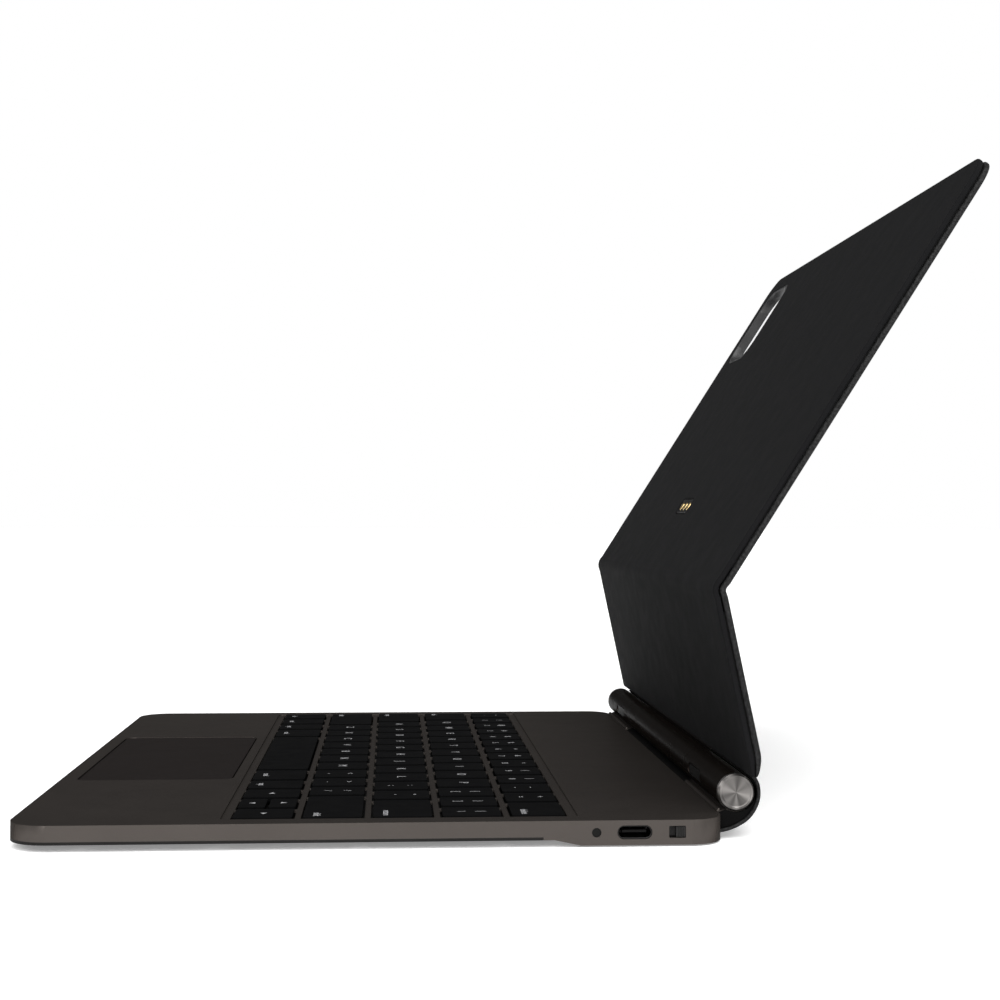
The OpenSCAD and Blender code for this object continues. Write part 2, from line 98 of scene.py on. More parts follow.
def textured(tree, place, kind, scale, stretch=(1, 1, 1), detail=3.0):
    """A texture's value over the object's own coordinates; scale is in features per metre."""
    sized = tree.nodes.new("ShaderNodeMapping")
    sized.inputs["Scale"].default_value = [scale * s for s in stretch]
    tree.links.new(place, sized.inputs["Vector"])
    if kind == "cells":
        node = tree.nodes.new("ShaderNodeTexVoronoi")
        node.feature = "SMOOTH_F1"
        node.inputs["Smoothness"].default_value = 0.45
        out = node.outputs["Distance"]
    elif kind == "rings":
        node = tree.nodes.new("ShaderNodeTexWave")
        node.wave_type = "RINGS"
        node.rings_direction = "X"
        node.inputs["Distortion"].default_value = 0.4
        out = node.outputs["Fac"]
    else:
        node = tree.nodes.new("ShaderNodeTexNoise")
        node.inputs["Detail"].default_value = detail
        out = node.outputs["Fac"]
    node.inputs["Scale"].default_value = 1.0
    tree.links.new(sized.outputs["Vector"], node.inputs["Vector"])
    return out


def multiplied(tree, first, second):
    """The product of two colours."""
    mixed = tree.nodes.new("ShaderNodeMix")
    mixed.data_type = "RGBA"
    mixed.blend_type = "MULTIPLY"
    socket(mixed, "Factor").default_value = 1.0
    tree.links.new(first, socket(mixed, "A"))
    tree.links.new(second, socket(mixed, "B"))
    return next(o for o in mixed.outputs if o.enabled)


# Nearly all values of a noise texture lie between the first two, and its specks between the last two
NOISE_LOW = 0.3
NOISE_HIGH = 0.7
FLECK_LOW = 0.42
FLECK_HIGH = 0.62


def ramped(tree, value, low_at, low, high_at, high):
    """A colour that goes from low to high while the value goes from low_at to high_at."""
    ramp = tree.nodes.new("ShaderNodeValToRGB")
    ends = ramp.color_ramp.elements
    ends[0].position = low_at
    ends[1].position = high_at
    ends[0].color = [*low, 1]
    ends[1].color = [*high, 1]
    tree.links.new(value, ramp.inputs["Fac"])
    return ramp.outputs["Color"]


# Painted highlight and shade round a spun metal face, standing in for its anisotropic reflections: the turn from 0
# to 1 and how bright it is there
PAINTED_SECTOR_LEVELS = [(0, 1.2), (0.06, 0.55), (0.13, 0.95), (0.2, 0.6), (0.3, 1.5), (0.38, 0.85), (0.45, 1.0),
           (0.52, 0.5), (0.6, 1.05), (0.66, 0.8), (0.74, 1.15), (0.8, 1.7), (0.88, 0.7), (0.95, 0.5),
           (1, 1.2)]


def painted_sector_highlights(tree, place):
    """Painted highlight and shade sectors on a face across X, standing in for the reflections of concentric
    turning.
    """
    turned = tree.nodes.new("ShaderNodeMapping")
    turned.inputs["Rotation"].default_value = (0, math.radians(90), 0)
    tree.links.new(place, turned.inputs["Vector"])
    sweep = tree.nodes.new("ShaderNodeTexGradient")
    sweep.gradient_type = "RADIAL"
    tree.links.new(turned.outputs["Vector"], sweep.inputs["Vector"])
    ramp = tree.nodes.new("ShaderNodeValToRGB")
    ramp.color_ramp.interpolation = "EASE"
    stops = ramp.color_ramp.elements
    for at, level in PAINTED_SECTOR_LEVELS[1:-1]:
        stops.new(at).color = (level, level, level, 1)
    stops[0].color = (PAINTED_SECTOR_LEVELS[0][1],) * 3 + (1,)
    stops[len(stops) - 1].color = (PAINTED_SECTOR_LEVELS[-1][1],) * 3 + (1,)
    tree.links.new(sweep.outputs["Fac"], ramp.inputs["Fac"])
    return ramp.outputs["Color"]


def finish(name, colour, roughness, metallic=0.0, tint=(0.12, 90), polish=(0.05, 140), grain=(),
           centre=(0, 0, 0), fleck=None, painted_sectors=False, **constants):
    """One procedural material. tint and polish are (amount, scale) of the slow changes in colour and
    roughness, fleck is (amount, scale) of the fine specks, grain is a list of (texture, scale, height,
    stretch), centre is where turning marks and painted highlight sectors are centred, the sector flag
    multiplies painted highlight and shade sectors into the colour, and constants go on the shader."""
    made = bpy.data.materials.new(name)
    made.use_nodes = True
    tree = made.node_tree
    shader = tree.nodes["Principled BSDF"]
    coords = tree.nodes.new("ShaderNodeTexCoord")
    place = tree.nodes.new("ShaderNodeMapping")
    place.inputs["Location"].default_value = [-c for c in centre]
    tree.links.new(coords.outputs["Object"], place.inputs["Vector"])
    here = place.outputs["Vector"]

    darker = [c * (1 - tint[0]) for c in colour]
    lighter = [min(1, c * (1 + tint[0])) for c in colour]
    clouds = textured(tree, here, "noise", tint[1])
    surface_colour = ramped(tree, clouds, NOISE_LOW, darker, NOISE_HIGH, lighter)
    if fleck:
        specks = textured(tree, here, "noise", fleck[1], detail=5.0)
        flecks = ramped(tree, specks, FLECK_LOW, [1 - fleck[0]] * 3, FLECK_HIGH, [1 + fleck[0]] * 3)
        surface_colour = multiplied(tree, surface_colour, flecks)
    # Painted highlight and shade: bright and dark sectors round the centre, multiplied into the colour
    if painted_sectors:
        surface_colour = multiplied(tree, surface_colour, painted_sector_highlights(tree, here))
    tree.links.new(surface_colour, shader.inputs["Base Color"])

    spread = tree.nodes.new("ShaderNodeMapRange")
    spread.inputs["From Min"].default_value = NOISE_LOW
    spread.inputs["From Max"].default_value = NOISE_HIGH
    spread.inputs["To Min"].default_value = roughness - polish[0]
    spread.inputs["To Max"].default_value = roughness + polish[0]
    tree.links.new(textured(tree, here, "noise", polish[1]), spread.inputs["Value"])
    tree.links.new(spread.outputs["Result"], shader.inputs["Roughness"])

    shader.inputs["Metallic"].default_value = metallic
    for key, value in constants.items():
        shader.inputs[key.replace("_", " ")].default_value = value
    normal = None
    for kind, scale, height, stretch in grain:
        bump = tree.nodes.new("ShaderNodeBump")
        bump.inputs["Strength"].default_value = 1.0
        bump.inputs["Distance"].default_value = height
        tree.links.new(textured(tree, here, kind, scale, stretch), bump.inputs["Height"])
        if normal:
            tree.links.new(normal, bump.inputs["Normal"])
        normal = bump.outputs["Normal"]
    if normal:
        tree.links.new(normal, shader.inputs["Normal"])
    return made


# A specular tint that keeps dark metal dark at grazing angles, and how a grain is stretched
EDGE_DARK = (0.06, 0.06, 0.06, 1)
EVEN = (1, 1, 1)
ALONG_X = (0.04, 1, 1)
FINISHES = {
    "deck": finish("anodised_deck", (0.072, 0.0635, 0.058), 0.44, 0.8, (0.03, 60), (0.02, 90),
                   [("noise", 9000, 0.006 * MM, EVEN)], fleck=(0.07, 14000), Specular_IOR_Level=0.05,
                   Specular_Tint=EDGE_DARK),
    "underside": finish("grained_underside", (0.009, 0.0085, 0.0083), 0.62,
                        grain=[("cells", 2200, 0.05 * MM, EVEN)], Specular_IOR_Level=0.1),
    "foot": finish("foot_rubber", (0.006, 0.006, 0.006), 0.78, grain=[("noise", 5000, 0.02 * MM, EVEN)],
                   Specular_IOR_Level=0.08),
    "steel": finish("brushed_steel", (0.5, 0.5, 0.51), 0.32, 1.0,
                    grain=[("noise", 6000, 0.004 * MM, ALONG_X)]),
    "black_plastic": finish("black_plastic", (0.0035, 0.0035, 0.0035), 0.5,
                            grain=[("noise", 7000, 0.006 * MM, EVEN)], Specular_IOR_Level=0.1),
    "cell": finish("cell_foil", (0.12, 0.12, 0.13), 0.45, 0.6),
    "board": finish("solder_mask", (0.01, 0.06, 0.03), 0.4),
    "port": finish("port_steel", (0.03, 0.029, 0.029), 0.36, 1.0,
                   grain=[("noise", 9000, 0.003 * MM, EVEN)]),
    "lens": finish("frosted_lens", (0.003, 0.003, 0.0027), 0.3, grain=[("noise", 9000, 0.004 * MM, EVEN)],
                   Specular_IOR_Level=0.12),
    "barrel": finish("dark_barrel", (0.036, 0.0285, 0.024), 0.3, 0.85, (0.06, 70), (0.03, 120),
                     [("noise", 9000, 0.004 * MM, EVEN)], fleck=(0.05, 12000), Specular_IOR_Level=0.06,
                     Specular_Tint=EDGE_DARK),
    # The cap's colour carries painted highlight and shade sectors round the barrel's axis
    "cap": finish("turned_cap_painted_sheen", (0.15, 0.142, 0.136), 0.34, 0.9, (0.04, 200), (0.04, 300),
                  [("rings", 3200, 0.003 * MM, (0, 1, 1))], AXIS, painted_sectors=True, Anisotropic=0.6),
    "clutch": finish("clutch_brass", (0.5, 0.36, 0.14), 0.35, 1.0, grain=[("noise", 6000, 0.003 * MM, EVEN)]),
    "skin": finish("grained_skin", (0.0085, 0.0084, 0.0086), 0.55, 0.0, (0.05, 70), (0.05, 220),
                   [("cells", 1700, 0.13 * MM, EVEN), ("noise", 5200, 0.035 * MM, EVEN)], fleck=(0.65, 1300),
                   Specular_IOR_Level=0.16),
    "liner": finish("microfibre_liner", (0.0062, 0.0062, 0.0066), 0.86, 0.0, (0.06, 55), (0.04, 160),
                    [("noise", 6500, 0.02 * MM, EVEN)], fleck=(0.16, 9000), Sheen_Weight=0.005,
                    Specular_IOR_Level=0.05),
    "core": finish("glass_fibre_core", (0.012, 0.012, 0.012), 0.7, Specular_IOR_Level=0.1),
    "pad": finish("etched_pad", (0.036, 0.0302, 0.0286), 0.44, 0.75, (0.03, 60), (0.02, 80),
                  [("noise", 12000, 0.003 * MM, EVEN)], fleck=(0.04, 15000), Specular_IOR_Level=0.05,
                  Specular_Tint=EDGE_DARK),
    "slider": finish("slider_plastic", (0.012, 0.0115, 0.011), 0.46,
                     grain=[("noise", 8000, 0.008 * MM, EVEN)], fleck=(0.4, 5000), Specular_IOR_Level=0.15),
    "magnet": finish("magnet_nickel", (0.5, 0.5, 0.51), 0.3, 1.0),
    "contact": finish("contact_gold", (0.75, 0.55, 0.25), 0.25, 1.0,
                      grain=[("noise", 8000, 0.002 * MM, EVEN)]),
    "trim": finish("window_trim", (0.01, 0.01, 0.0105), 0.4, grain=[("noise", 8000, 0.004 * MM, EVEN)]),
    "key": finish("key_plastic", (0.003, 0.003, 0.0032), 0.5, 0.0, (0.08, 120), (0.03, 160),
                  [("noise", 8000, 0.005 * MM, EVEN)], fleck=(0.06, 9000), Specular_IOR_Level=0.004),
}
LEGEND = finish("legend_ink", (0.34, 0.34, 0.35), 0.5, grain=[("noise", 9000, 0.002 * MM, EVEN)])
LINING = finish("spine_lining", (0.0035, 0.0035, 0.0035), 0.8, grain=[("noise", 6000, 0.02 * MM, EVEN)],
                Specular_IOR_Level=0.02)


# The layers that show in the gaps between the keys, and the pads in the sleeves, look black
UNDER_KEYS = ("key_plate", "key_membrane", "key_supports")
BLACK_NODES = UNDER_KEYS + ("sleeve_pads",)


def dress_frame():
    """Every CAD node gets the finish of its slot in the record, and the black ones get black plastic."""
    for part in frame["record"]["subparts"]:
        node = NODES[part["node"]]
        look = "black_plastic" if part["node"] in BLACK_NODES else part["material_slot"]
        node.data.materials.clear()
        node.data.materials.append(FINISHES[look])


def soften(names, width, segments=3):
    """Small rounds along the sharp edges of CAD nodes, as modifiers that leave their meshes alone."""
    for name in names:
        node = NODES[name]
        weld = node.modifiers.new("weld", "WELD")
        weld.merge_threshold = 0.002 * MM
        planes = node.modifiers.new("planes", "DECIMATE")
        planes.decimate_type = "DISSOLVE"
        planes.angle_limit = math.radians(1)
        rounds = node.modifiers.new("rounds", "BEVEL")
        rounds.width = width
        rounds.segments = segments
        rounds.limit_method = "ANGLE"
        rounds.angle_limit = math.radians(40)
        rounds.use_clamp_overlap = True
        rounds.harden_normals = True


# ---- meshes ----
SHARP = math.radians(60)
X_AXIS = 0
Z_AXIS = 2


def piece(name, shape, material):
    """A new smooth-shaded object from a bmesh, in the case's own frame."""
    bmesh.ops.recalc_face_normals(shape, faces=shape.faces[:])
    mesh = bpy.data.meshes.new(name)
    shape.to_mesh(mesh)
    shape.free()
    mesh.materials.append(material)
    for face in mesh.polygons:
        face.use_smooth = True
    made = bpy.data.objects.new(name, mesh)
    bpy.context.scene.collection.objects.link(made)
    return made


def even_shading(made):
    """Flat faces stay flat beside small rounds."""
    weighted = made.modifiers.new("even", "WEIGHTED_NORMAL")
    weighted.keep_sharp = True
    return made


def faceted(made):
    """Every face flat, for pieces too small to round."""
    for face in made.data.polygons:
        face.use_smooth = False
    return made


def thicken(shape, faces, axis, place, edge, segments):
    """Extrudes flat faces to a place along an axis, and rounds the sharp edges of the solid that it makes."""
    raised = bmesh.ops.extrude_face_region(shape, geom=faces)
    for vert in raised["geom"]:
        if isinstance(vert, bmesh.types.BMVert):
            vert.co[axis] = place
    bmesh.ops.recalc_face_normals(shape, faces=shape.faces[:])
    sharp = [e for e in shape.edges if e.calc_face_angle(0) > SHARP]
    bmesh.ops.bevel(shape, geom=sharp, offset=edge, segments=segments, profile=0.5, affect="EDGES")


def eased(t):
    """Smooth step from 0 to 1."""
    t = min(1.0, max(0.0, t))
    return t * t * (3 - 2 * t)


def loft(rings):
    """A bmesh solid through rings of points, closed at the first and the last."""
    shape = bmesh.new()
    loops = [[shape.verts.new(point) for point in ring] for ring in rings]
    for lower, upper in zip(loops, loops[1:]):
        for i in range(len(lower)):
            shape.faces.new((lower[i - 1], lower[i], upper[i], upper[i - 1]))
    shape.faces.new(loops[0][::-1])
    shape.faces.new(loops[-1])
    return shape


def on_panel(x, s, n):
    """Where a point of the flat sheet lies at rest: x across, s along and n out from the barrel's axis."""
    lean = STAND_LEAN - (STAND_LEAN + COVER_LEAN) * eased((s - STAND_LEN + FOLD_HALF) / (2 * FOLD_HALF))
    low = max(0.0, 1 - (s - LOW_END) / TAPER)
    n = LINER_IN + (n - LINER_IN) * (1 - TAPER_SHARE * min(1.0, low) ** TAPER_POWER)
    u = s - STAND_LEN
    v = n - PIVOT_OUT
    y = PIVOT.y - u * math.sin(lean) + v * math.cos(lean)
    z = PIVOT.z + u * math.cos(lean) + v * math.sin(lean)
    return Vector((x, y, z))


def rim(x_mid, half, s0, s1, r_low, r_high, steps=10):
    """Outline of a flat rectangle from s0 to s1, with round corners of r_low at s0 and r_high at s1."""
    corners = [(1, s0 + r_low, r_low, -90), (1, s1 - r_high, r_high, 0), (-1, s1 - r_high, r_high, 90),
               (-1, s0 + r_low, r_low, 180)]
    points = []
    for side, s, r, start in corners:
        for i in range(steps + 1):
            a = math.radians(start + 90 * i / steps)
            points.append((x_mid + side * (half - r) + r * math.cos(a), s + r * math.sin(a)))
    return points


# Rows of cuts that let a sheet bend: across the fold, a little past both its ends, and over the taper
FOLD_ROWS = 13
FOLD_ROWS_REACH = 1.1
LOW_ROWS = 9


def panel(name, outline, holes, n0, n1, edge, material):
    """A flat sheet with rounded edges and holes, cut in rows where it folds, and laid at its rest shape."""
    shape = bmesh.new()
    for loop in [outline] + holes:
        corners = [shape.verts.new((x, s, n0)) for x, s in loop]
        for i, corner in enumerate(corners):
            shape.edges.new((corners[i - 1], corner))
    bmesh.ops.triangle_fill(shape, use_beauty=True, edges=shape.edges[:])
    thicken(shape, shape.faces[:], Z_AXIS, n1, edge, 4)
    half_rows = FOLD_ROWS // 2
    fold_rows = [STAND_LEN + FOLD_HALF * FOLD_ROWS_REACH * (i / half_rows - 1) for i in range(FOLD_ROWS)]
    low_rows = [LOW_END + TAPER * (i + 0.5) / LOW_ROWS for i in range(LOW_ROWS)]
    for s in low_rows + fold_rows:
        whole = shape.verts[:] + shape.edges[:] + shape.faces[:]
        bmesh.ops.bisect_plane(shape, geom=whole, plane_co=(0, s, 0), plane_no=(0, 1, 0))
    for vert in shape.verts:
        vert.co = on_panel(*vert.co)
    made = piece(name, shape, material)
    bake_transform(made)
    return even_shading(made)


# The camera window is near the cover's upper left corner, and its trim stands in the hole of the sheets
WINDOW = 33 * MM
WINDOW_MARGIN = 9 * MM
WINDOW_TRIM = 0.95 * MM
WINDOW_ROUND = 8 * MM
WINDOW_X = -(PANEL_HALF - WINDOW_MARGIN - WINDOW / 2)
WINDOW_S = STAND_LEN + COVER_LEN - WINDOW_MARGIN - WINDOW / 2

# The dock's hole in the liner and the island in it, as half widths across and along the panel
DOCK_S = STAND_LEN + 26 * MM
DOCK_HOLE = (11 * MM, 3 * MM)
DOCK_HOLE_ROUND = 2.9 * MM
ISLAND = (10.8 * MM, 2.8 * MM)
ISLAND_ROUND = 2.75 * MM

# Corners and rounded edges of the sheets; the liner's edge stays just inside the skin's
LOW_ROUND = 1.2 * MM
SKIN_ROUND = 9.5 * MM
SKIN_EDGE = 0.7 * MM
LINER_ROUND = 9.2 * MM
LINER_EDGE = 0.5 * MM
LINER_SIDE_INSET = LINER_INSET * 0.4
LINER_LOW_INSET = 0.1 * MM


def build_panels():
    """The outer skin and the inner liner each run in one sheet over the stand, the fold and the cover."""
    half = WINDOW / 2 + WINDOW_TRIM
    window = rim(WINDOW_X, half, WINDOW_S - half, WINDOW_S + half, WINDOW_ROUND, WINDOW_ROUND)
    across, up = DOCK_HOLE
    dock = rim(0, across, DOCK_S - up, DOCK_S + up, DOCK_HOLE_ROUND, DOCK_HOLE_ROUND)
    skin_rim = rim(0, PANEL_HALF, LOW_END, STAND_LEN + COVER_LEN, LOW_ROUND, SKIN_ROUND)
    skin = panel("outer_skin", skin_rim, [window], SKIN_IN, SKIN_OUT, SKIN_EDGE, FINISHES["skin"])
    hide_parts("stand_skin", "fold_skin", "cover_skin")
    liner_rim = rim(0, PANEL_HALF - LINER_SIDE_INSET, LOW_END + LINER_LOW_INSET,
                    STAND_LEN + COVER_LEN - LINER_SIDE_INSET, LOW_ROUND, LINER_ROUND)
    liner = panel("inner_liner", liner_rim, [window, dock], LINER_IN, LINER_OUT, LINER_EDGE,
                  FINISHES["liner"])
    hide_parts("stand_liner", "fold_liner", "cover_liner")


def smooth_line(points, steps):
    """A curve through the points, with that many steps between each two."""
    ends = [points[0] * 2 - points[1]] + points + [points[-1] * 2 - points[-2]]
    line = []
    for i in range(1, len(ends) - 2):
        a, b, c, d = ends[i - 1:i + 3]
        for k in range(steps):
            t = k / steps
            line.append(0.5 * (2 * b + (c - a) * t + (2 * a - 5 * b + 4 * c - d) * t**2
                               + (3 * b - a - 3 * c + d) * t**3))
    return line + [points[-1]]


def offset_line(line, depth):
    """The line moved to its left by depth."""
    moved = []
    for i, point in enumerate(line):
        way = (line[min(i + 1, len(line) - 1)] - line[max(i - 1, 0)]).normalized()
        moved.append(point + Vector((-way.y, way.x)) * depth)
    return moved


def sweep_across(name, section, half, edge, material):
    """A closed section (y, z from the barrel's axis) carried straight across the case."""
    shape = bmesh.new()
    near = [shape.verts.new((-half, AXIS.y + p.x, AXIS.z + p.y)) for p in section]
    face = shape.faces.new(near)
    thicken(shape, [face], X_AXIS, half, edge, 3)
    made = piece(name, shape, material)
    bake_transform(made)
    return even_shading(made)


# The spine's outer line from the base's rear wall up to the stand: y and z from the barrel's axis, in mm
SPINE = [
    [(REAR_Y - AXIS.y) / MM, -10.7], [-1.6, -9.95], [1.3, -8.6], [3.6, -6.9], [5.4, -4.4],
    [6.4, -1.5], [6.4, 1.5], [5.7, 3.6], [4.8, 4.85],
]
SPINE_STEPS = 5
SPINE_THICK = 0.95 * MM
SPINE_TIP = 0.4 * MM
SPINE_EDGE = 0.3 * MM
SPINE_OVERHANG = 1 * MM

# The lining fills the room between the spine and the barrel, round an arc just clear of the barrel
BARREL_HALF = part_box("end_caps")[1].x
BARREL_CLEAR = 5.35 * MM
CLEAR_FROM = math.radians(56)
CLEAR_TO = math.radians(-121)
CLEAR_STEPS = 24
LINING_GAP_SHARE = 0.05
LINING_BELOW_DECK = 0.1 * MM
LINING_EDGE = 0.15 * MM
LINING_OVERHANG = 0.2 * MM


def build_spine():
    """The skin that wraps the back of the barrel, from the base up to the stand, and its dark lining."""
    outer = smooth_line([Vector(p) * MM for p in SPINE], SPINE_STEPS)
    inner = offset_line(outer, SPINE_THICK)
    tip = outer[-1].lerp(inner[-1], 0.5) + (outer[-1] - outer[-2]).normalized() * SPINE_TIP
    skin = sweep_across("spine_wrap", outer + [tip] + inner[::-1], BARREL_HALF + SPINE_OVERHANG, SPINE_EDGE,
                        FINISHES["skin"])
    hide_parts("spine_skin")
    seat = [p + (p - q) * LINING_GAP_SHARE for p, q in zip(inner, outer)]
    turns = [CLEAR_FROM + (CLEAR_TO - CLEAR_FROM) * i / CLEAR_STEPS for i in range(CLEAR_STEPS + 1)]
    round_barrel = [Vector((math.cos(a), math.sin(a))) * BARREL_CLEAR for a in turns]
    wall = Vector((REAR_Y - AXIS.y, DECK_Z - AXIS.z - LINING_BELOW_DECK))
    sweep_across("spine_lining", seat + round_barrel + [wall], BARREL_HALF + LINING_OVERHANG, LINING_EDGE,
                 LINING)


# ---- keys ----
# Sizes of the legends: one letter, one of two signs, a word and an arrow, and where they stand on a key
LEGEND_RAISE = 0.02 * MM
LETTER_SIZE = 4.1 * MM
SIGN_SIZE = 3.2 * MM
SIGN_OFFSET = 2.8 * MM
WORD_SIZE = 2.9 * MM
WORD_FROM_FRONT = 3.6 * MM
WORD_FROM_SIDE = 2 * MM
ARROW_SIZE = 1.15 * MM
ARROW_CORNERS = ((0, 1.0), (125, 0.95), (-125, 0.95))
LEAST_KEY_GAP = 0.8 * MM

# The words and signs of each body of keys; a word stands at its key's left (-1) or right (1) side
ROW_LEGENDS = {
    "keys_number_row": ["`~", "1!", "2@", "3#", "4$", "5%", "6^", "7&", "8*", "9(", "0)", "-_", "=+"],
    "keys_top_row": [*"QWERTYUIOP", "[{", "]}", "\\|"],
    "keys_home_row": [*"ASDFGHJKL", ";:", "'\""],
    "keys_bottom_row": [*"ZXCVBNM", ",<", ".>", "/?"],
    "keys_modifiers": ["fn", "ctrl", "opt", "cmd", "cmd", "opt"],
}
WORD_LEGENDS = {
    "key_tab": ("tab", -1), "key_caps": ("caps", -1), "key_shift_left": ("shift", -1),
    "key_shift_right": ("shift", 1), "key_return": ("return", 1), "key_backspace": ("delete", 1),
}
ARROW_DEGREES = {"key_left": 180, "key_up": 90, "key_down": -90, "key_right": 0}


def key_spans(node):
    """The left and right sides of each key in a node, from left to right."""
    places = sorted({round(v.co.x, 6) for v in NODES[node].data.vertices})
    groups = [[places[0]]]
    for x in places[1:]:
        if x - groups[-1][-1] > LEAST_KEY_GAP:
            groups.append([])
        groups[-1].append(x)
    return [(left[0], right[-1]) for left, right in zip(groups[::2], groups[1::2])]


def add_text(shape, words, size, x, y, z, align="CENTER"):
    """Adds a few raised letters to a bmesh."""
    curve = bpy.data.curves.new("legend", "FONT")
    curve.body = words
    curve.size = size
    curve.align_x = align
    curve.align_y = "CENTER"
    curve.extrude = LEGEND_RAISE
    curve.resolution_u = 3
    text = bpy.data.objects.new("legend", curve)
    bpy.context.scene.collection.objects.link(text)
    bpy.context.view_layer.update()
    mesh = bpy.data.meshes.new_from_object(text.evaluated_get(bpy.context.evaluated_depsgraph_get()))
    mesh.transform(text.matrix_world)
    for vert in mesh.vertices:
        vert.co += Vector((x, y, z))
    shape.from_mesh(mesh)
    bpy.data.objects.remove(text)
    bpy.data.curves.remove(curve)
    bpy.data.meshes.remove(mesh)


def add_arrow(shape, angle, size, x, y, z):
    """Adds a raised triangle that points along angle, in degrees."""
    corners = []
    for turn, reach in ARROW_CORNERS:
        a = math.radians(angle + turn)
        corners.append((x + size * reach * math.cos(a), y + size * reach * math.sin(a)))
    low = [shape.verts.new((cx, cy, z - LEGEND_RAISE)) for cx, cy in corners]
    high = [shape.verts.new((cx, cy, z + LEGEND_RAISE)) for cx, cy in corners]
    shape.faces.new(low[::-1])
    shape.faces.new(high)
    for i in range(3):
        shape.faces.new((low[i - 1], low[i], high[i], high[i - 1]))


def finish_legend(shape, node):
    """The legends of one body of keys as a piece that moves with it."""
    made = faceted(piece("legend_" + node, shape, LEGEND))
    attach(made, node + "_body")


def build_legends():
    """Plain letters, signs, words and arrows on the key tops, one piece for each body of keys."""
    for node, labels in ROW_LEGENDS.items():
        low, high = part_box(node)
        shape = bmesh.new()
        middle = (low.y + high.y) / 2
        for (left, right), label in zip(key_spans(node), labels):
            x = (left + right) / 2
            if node == "keys_modifiers":
                add_text(shape, label, WORD_SIZE, x, low.y + WORD_FROM_FRONT, high.z)
            elif len(label) == 2:
                add_text(shape, label[1], SIGN_SIZE, x, middle + SIGN_OFFSET, high.z)
                add_text(shape, label[0], SIGN_SIZE, x, middle - SIGN_OFFSET, high.z)
            else:
                add_text(shape, label, LETTER_SIZE, x, middle, high.z)
        finish_legend(shape, node)
    for node, (label, side) in WORD_LEGENDS.items():
        low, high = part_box(node)
        shape = bmesh.new()
        x = low.x + WORD_FROM_SIDE if side < 0 else high.x - WORD_FROM_SIDE
        align = "LEFT" if side < 0 else "RIGHT"
        add_text(shape, label, WORD_SIZE, x, low.y + WORD_FROM_FRONT, high.z, align)
        finish_legend(shape, node)
    for node, angle in ARROW_DEGREES.items():
        low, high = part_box(node)
        shape = bmesh.new()
        add_arrow(shape, angle, ARROW_SIZE, (low.x + high.x) / 2, (low.y + high.y) / 2, high.z)
        finish_legend(shape, node)


# ---- small details ----
# The island's rings from its back to its sunken face: how far each is drawn in, and how far out it lies
ISLAND_RINGS = [(0, LINER_OUT), (0, LINER_IN + 0.35 * MM), (0.12 * MM, LINER_IN + 0.1 * MM),
                (0.45 * MM, LINER_IN + 0.02 * MM), (0.8 * MM, LINER_IN + 0.1 * MM),
                (0.9 * MM, LINER_IN + 0.3 * MM)]

# A contact's domed profile: radius and depth below the liner's face, in mm
CONTACT_RINGS = ((1.5, 0.9), (1.5, 0.2), (1.25, 0.02), (0.85, -0.1), (0.4, -0.16))
CONTACT_SPACING = 6 * MM
CONTACT_STEPS = 24


def island_ring(outline, inset, n):
    """The island's outline drawn in by inset, and laid on the panel's layer n."""
    across, up = ISLAND
    drawn = [(x * (1 - inset / across), DOCK_S + (s - DOCK_S) * (1 - inset / up)) for x, s in outline]
    return [on_panel(x, s, n) for x, s in drawn]


def contact_ring(x_mid, radius, n):
    """A circle on the panel's layer n, level with the middle of the dock."""
    turns = [math.tau * i / CONTACT_STEPS for i in range(CONTACT_STEPS)]
    return [on_panel(x_mid + radius * math.cos(a), DOCK_S + radius * math.sin(a), n) for a in turns]


def build_dock():
    """The connector's island in the liner, with a rim and three sprung contacts."""
    across, up = ISLAND
    outline = rim(0, across, DOCK_S - up, DOCK_S + up, ISLAND_ROUND, ISLAND_ROUND, steps=8)
    shape = loft([island_ring(outline, inset, n) for inset, n in ISLAND_RINGS])
    made = even_shading(piece("dock_island", shape, FINISHES["black_plastic"]))
    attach(made, "cover")
    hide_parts("contact_block")
    for side, name in ((-1, "left"), (0, "middle"), (1, "right")):
        shape = loft([contact_ring(side * CONTACT_SPACING, radius * MM, LINER_IN + n * MM)
                      for radius, n in CONTACT_RINGS])
        contact = even_shading(piece("dock_contact_" + name, shape, FINISHES["contact"]))
        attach(contact, "cover")


# A lip's section: y behind and z above the deck's rear edge, in mm
RAIL_SECTION = [(-0.35, -0.3), (-0.35, 0.35), (0.1, 0.95), (0.6, 0.95), (0.6, -0.3)]
RAIL_INSET = 1.5 * MM


def build_rails():
    """The low metal lips along the deck's rear edge, one in front of each sleeve."""
    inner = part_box("centre_barrel")[1].x + RAIL_INSET
    outer = BARREL_HALF - RAIL_INSET
    for side, name in ((-1, "left"), (1, "right")):
        shape = bmesh.new()
        ends = [[shape.verts.new((side * x, REAR_Y + y * MM, DECK_Z + z * MM)) for y, z in RAIL_SECTION]
                for x in (inner, outer)]
        for i in range(len(RAIL_SECTION)):
            shape.faces.new((ends[0][i - 1], ends[0][i], ends[1][i], ends[1][i - 1]))
        shape.faces.new(ends[0])
        shape.faces.new(ends[1])
        bmesh.ops.bevel(shape, geom=shape.edges[:], offset=0.1 * MM, segments=2, profile=0.5, affect="EDGES")
        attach(even_shading(piece("sleeve_rail_" + name, shape, FINISHES["deck"])), "base")


# The bars on the tongue: how many on a face, how far their middle is from its tip, and their size
BAR_COUNT = 12
BAR_FROM_TIP = 2.2 * MM
BAR_LENGTH = 3 * MM
BAR_WIDTH = 0.27 * MM
BAR_HEIGHT = 0.06 * MM


